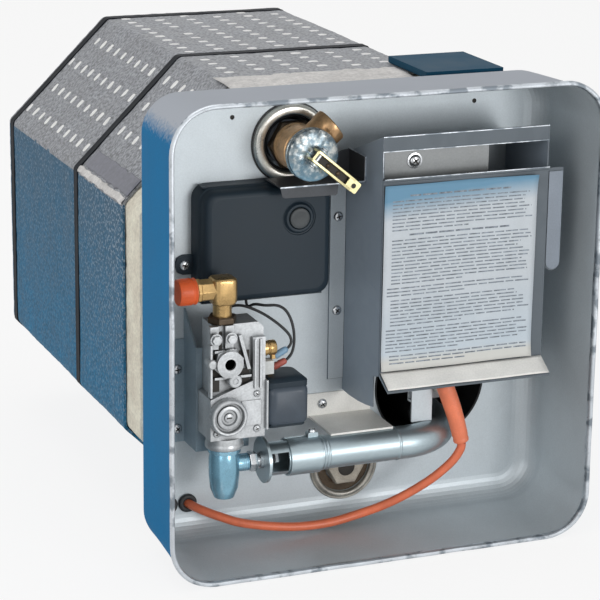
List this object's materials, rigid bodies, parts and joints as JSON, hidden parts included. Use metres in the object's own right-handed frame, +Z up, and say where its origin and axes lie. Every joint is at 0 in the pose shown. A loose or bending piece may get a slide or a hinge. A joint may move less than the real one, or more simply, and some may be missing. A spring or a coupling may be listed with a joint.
{
  "type": "caravan water heater",
  "caption": "Gas-fired caravan water heater: a wall pan with burner, gas valve, thermostat, relief valve and flue box in front of a tank in an octagonal foil jacket.",
  "frame": {"origin": "middle of the heater's box at its base, where rim and jacket rest", "axes": "+Z up, the open front of the pan faces -Y, the water fittings point along +Y"},
  "size_m": [0.322, 0.487, 0.338],
  "materials": {
    "galvanised": "satin",
    "foil": "crinkled",
    "strap": "matte",
    "insulation": "matte",
    "tank_steel": "satin",
    "fire_steel": "sooted",
    "brass": "satin",
    "bright_steel": "polished",
    "black_plastic": "matte",
    "paper": "matte",
    "burner_steel": "satin",
    "ceramic": "glazed",
    "orange_rubber": "satin",
    "black_rubber": "matte",
    "diecast": "as cast",
    "orange_plastic": "satin",
    "blue_fitting": "satin",
    "blue_paint": "satin",
    "blue_plastic": "satin",
    "dark_steel": "satin",
    "anode": "dull"
  },
  "bodies": {
    "heater": {"control_pan": "galvanised", "jacket_shell": "foil", "rear_cap": "foil", "front_insulation": "insulation", "tank_insulation": "insulation", "tank_shell": "tank_steel", "flue_tube": "fire_steel", "relief_spud": "tank_steel", "drain_spud": "tank_steel", "cold_inlet": "brass", "hot_outlet": "brass", "strap_front": "strap", "strap_rear": "strap", "junction_box": "blue_paint", "junction_lid": "blue_paint", "relief_port_ring": "bright_steel", "relief_valve_body": "brass", "relief_bonnet": "bright_steel", "lever_pin": "bright_steel", "drip_shield": "galvanised", "thermostat_cover": "black_plastic", "limit_switch": "black_plastic", "flue_box": "galvanised", "flue_front_plate": "galvanised", "flue_baffle": "galvanised", "label_sheet": "paper", "burner_tube": "burner_steel", "burner_head": "fire_steel", "burner_bracket": "galvanised", "electrode_bracket": "galvanised", "electrode": "ceramic", "lead_boot": "orange_rubber", "ignition_lead": "orange_rubber", "lead_grommets": "black_rubber", "gas_valve_body": "diecast", "regulator_cap": "diecast", "solenoid_coil": "black_plastic", "inlet_elbow": "brass", "inlet_cap": "orange_plastic", "outlet_fitting": "blue_fitting", "orifice_nozzle": "bright_steel", "valve_terminals": "brass", "wire_sleeves": "blue_plastic", "valve_wires": "black_rubber", "valve_bracket": "dark_steel", "drain_collar": "galvanised", "drain_plug": "brass", "anode_rod": "anode", "panel_screws": "bright_steel", "baffle_screw": "bright_steel"},
    "lever": {"relief_lever": "brass"},
    "stem": {"relief_stem": "bright_steel", "relief_spring": "bright_steel"},
    "button": {"reset_button": "black_plastic"},
    "shutter": {"air_shutter": "burner_steel", "shutter_screw": "bright_steel"},
    "plunger": {"solenoid_plunger": "bright_steel"}
  },
  "joints": [
    {"name": "lever_lift", "type": "hinge", "parent": "heater", "child": "lever", "pos_m": [-0.04292, -0.2095, 0.28886], "axis": [-0.6361, 0, -0.7716], "range_deg": [0, 80]},
    {"name": "stem_lift", "type": "slide", "parent": "heater", "child": "stem", "axis": [0, -1, 0], "range_m": [0, 0.003], "stiffness_N_per_m": 1500},
    {"name": "reset_press", "type": "slide", "parent": "heater", "child": "button", "axis": [0, 1, 0], "range_m": [0, 0.003], "stiffness_N_per_m": 400},
    {"name": "shutter_slide", "type": "slide", "parent": "heater", "child": "shutter", "axis": [-1, 0, 0], "range_m": [0, 0.012]},
    {"name": "plunger_pull", "type": "slide", "parent": "heater", "child": "plunger", "axis": [1, 0, 0], "range_m": [0, 0.002], "stiffness_N_per_m": 400}
  ],
  "couplings": [
    {"joint": "lever_lift", "follows": "stem_lift", "rad_per_m": 465}
  ]
}
